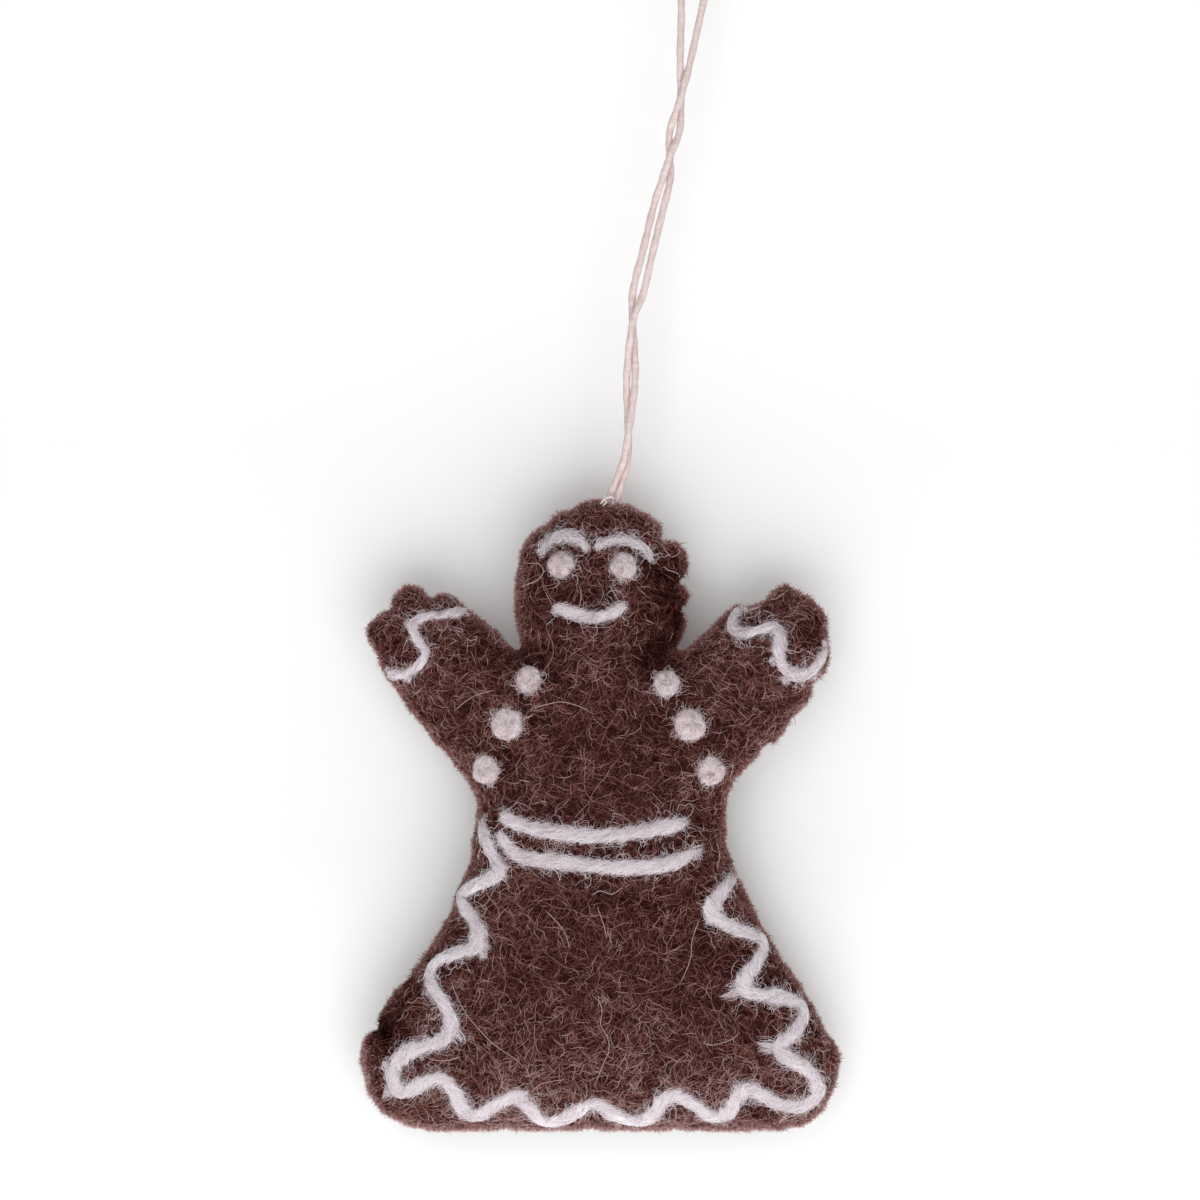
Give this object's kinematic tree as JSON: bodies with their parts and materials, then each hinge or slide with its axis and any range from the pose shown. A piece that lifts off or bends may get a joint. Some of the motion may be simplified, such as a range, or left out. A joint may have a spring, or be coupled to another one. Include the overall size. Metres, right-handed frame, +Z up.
{
  "type": "felt christmas ornament",
  "caption": "Stuffed felt figure in a flared skirt with raised arms, a smiling face and white wool trims, hung from a long doubled cotton cord.",
  "frame": {"origin": "inner top of the loop's eye, where a hook or twig bears on the cord", "axes": "+Z up along the hanging cord, the face looks along -Y, +X is the right of the picture seen from the front"},
  "size_m": [0.0801, 0.0172, 0.1961],
  "materials": {
    "brown_felt": "matte felted wool",
    "raw_wool": "loose carded wool",
    "white_wool": "needled wool roving",
    "cotton_cord": "two-strand twisted cotton"
  },
  "bodies": {
    "root": {"front_panel": "brown_felt", "back_panel": "brown_felt", "wool_stuffing": "raw_wool", "cord_knot": "cotton_cord", "left_eye": "white_wool", "right_eye": "white_wool", "left_eyebrow": "white_wool", "right_eyebrow": "white_wool", "smile": "white_wool", "button_left_upper": "white_wool", "button_left_middle": "white_wool", "button_left_lower": "white_wool", "button_right_upper": "white_wool", "button_right_middle": "white_wool", "button_right_lower": "white_wool", "left_cuff_trim": "white_wool", "right_cuff_trim": "white_wool", "belt_upper_line": "white_wool", "belt_lower_line": "white_wool", "skirt_trim": "white_wool", "hanging_cord": "cotton_cord"}
  },
  "joints": []
}
